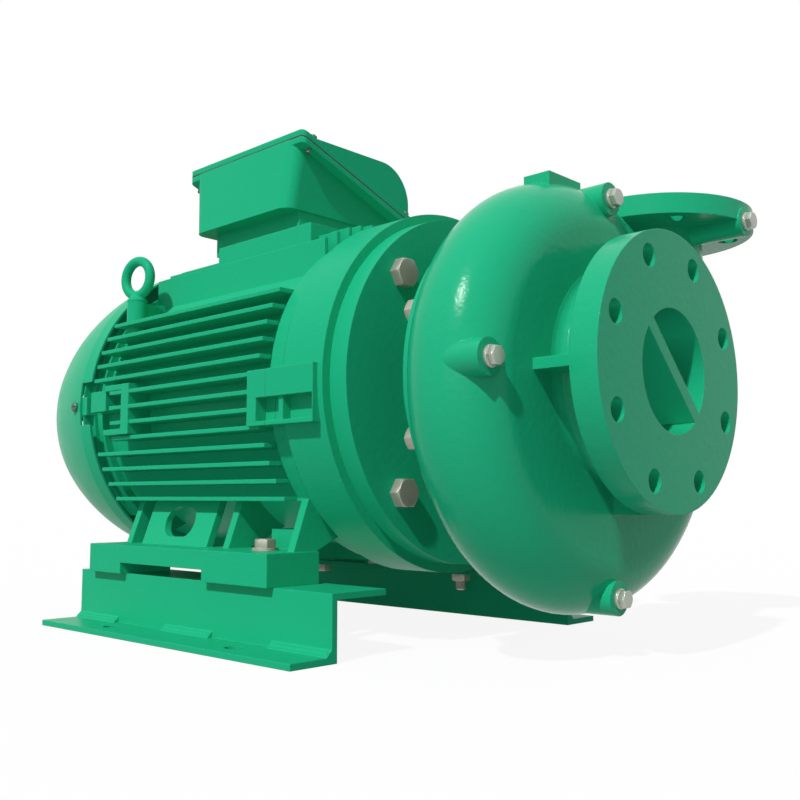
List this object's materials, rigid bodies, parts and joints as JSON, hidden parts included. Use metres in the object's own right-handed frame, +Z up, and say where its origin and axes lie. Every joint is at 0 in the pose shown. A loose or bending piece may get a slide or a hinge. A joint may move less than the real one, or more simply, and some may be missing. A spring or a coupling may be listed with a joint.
{
  "type": "centrifugal water pump",
  "caption": "Close-coupled centrifugal water pump: spiral casing with flanged inlet and outlet, bolted to a finned electric motor on two steel rails.",
  "frame": {"origin": "on the floor, midway between the four anchor holes of the rails", "axes": "+X along the shaft towards the suction flange, +Y towards the discharge side, +Z up"},
  "size_m": [0.7872, 0.4622, 0.5085],
  "materials": {
    "ball_steel": "polished steel",
    "bearing_steel": "ground steel",
    "bolt_steel": "plain steel, dull",
    "box_paint": "semi-gloss green paint over cast iron",
    "bracket_paint": "semi-gloss green paint over cast iron",
    "bronze": "turned bronze",
    "cage_aluminium": "die-cast aluminium",
    "cap_iron": "bare casting",
    "casing_paint": "semi-gloss green paint over cast iron",
    "cover_iron": "bare casting, black",
    "cowl_paint": "semi-gloss green paint over pressed sheet",
    "eyebolt_paint": "green paint over forged steel",
    "fan_plastic": "moulded black plastic",
    "frame_paint": "semi-gloss green paint over cast iron",
    "impeller_bronze": "cast bronze",
    "key_steel": "bright steel",
    "lamination_steel": "stacked sheet steel",
    "lid_paint": "semi-gloss green paint over cast iron",
    "nut_bronze": "turned bronze",
    "nut_steel": "plain steel, dull",
    "plug_steel": "plain steel, dull",
    "rail_paint": "semi-gloss green paint over folded plate",
    "screw_steel": "plain steel screws",
    "seal_carbon": "carbon",
    "seal_rubber": "black rubber",
    "seat_ceramic": "ground ceramic",
    "shaft_steel": "ground steel",
    "shield_paint": "semi-gloss green paint over cast iron",
    "sleeve_bronze": "turned bronze",
    "slinger_rubber": "black rubber",
    "spring_steel": "stainless wire",
    "stud_steel": "plain steel",
    "terminal_brass": "brass studs and nuts",
    "terminal_plastic": "moulded terminal board",
    "washer_steel": "plain steel",
    "winding_varnish": "varnished copper wire"
  },
  "bodies": {
    "pump_and_motor": {"volute_casing": "casing_paint", "front_wear_ring": "bronze", "casing_plugs": "plug_steel", "casing_cover": "cover_iron", "casing_seal_ring": "seal_rubber", "casing_studs": "stud_steel", "casing_nuts": "nut_steel", "seal_seat": "seat_ceramic", "motor_bracket": "bracket_paint", "bracket_bolts": "bolt_steel", "drive_end_shield": "shield_paint", "drive_bearing_outer_ring": "bearing_steel", "drive_bearing_cap": "cap_iron", "stator_frame": "frame_paint", "stator_core": "lamination_steel", "stator_windings": "winding_varnish", "rear_end_shield": "shield_paint", "rear_bearing_outer_ring": "bearing_steel", "fan_cowl": "cowl_paint", "lifting_eyebolt": "eyebolt_paint", "terminal_box": "box_paint", "terminal_box_lid": "lid_paint", "terminal_box_gasket": "seal_rubber", "rail_near": "rail_paint", "rail_far": "rail_paint", "foot_bolts": "bolt_steel", "foot_washers": "washer_steel", "foot_nuts": "nut_steel", "cowl_screws": "screw_steel", "lid_screws": "screw_steel", "box_screws": "screw_steel", "terminal_board": "terminal_plastic", "terminal_studs": "terminal_brass"},
    "rotor": {"impeller": "impeller_bronze", "impeller_key": "key_steel", "impeller_washer": "washer_steel", "impeller_nut": "nut_bronze", "shaft_sleeve": "sleeve_bronze", "seal_head": "seal_carbon", "seal_spring": "spring_steel", "water_slinger": "slinger_rubber", "drive_bearing_inner_ring": "bearing_steel", "rear_bearing_inner_ring": "bearing_steel", "rotor_core": "lamination_steel", "rotor_end_rings": "cage_aluminium", "pump_shaft": "shaft_steel", "cooling_fan": "fan_plastic", "fan_clip": "spring_steel"},
    "drive_ball_set": {"drive_bearing_balls": "ball_steel"},
    "rear_ball_set": {"rear_bearing_balls": "ball_steel"}
  },
  "joints": [
    {"name": "shaft_spin", "type": "hinge", "parent": "pump_and_motor", "child": "rotor", "pos_m": [0, 0, 0.2338], "axis": [1, 0, 0], "continuous": true},
    {"name": "drive_balls_spin", "type": "hinge", "parent": "pump_and_motor", "child": "drive_ball_set", "pos_m": [0, 0, 0.2338], "axis": [1, 0, 0], "continuous": true},
    {"name": "rear_balls_spin", "type": "hinge", "parent": "pump_and_motor", "child": "rear_ball_set", "pos_m": [0, 0, 0.2338], "axis": [1, 0, 0], "continuous": true}
  ],
  "couplings": [
    {"joint": "drive_balls_spin", "follows": "shaft_spin", "ratio": 0.3971},
    {"joint": "rear_balls_spin", "follows": "shaft_spin", "ratio": 0.3971}
  ]
}
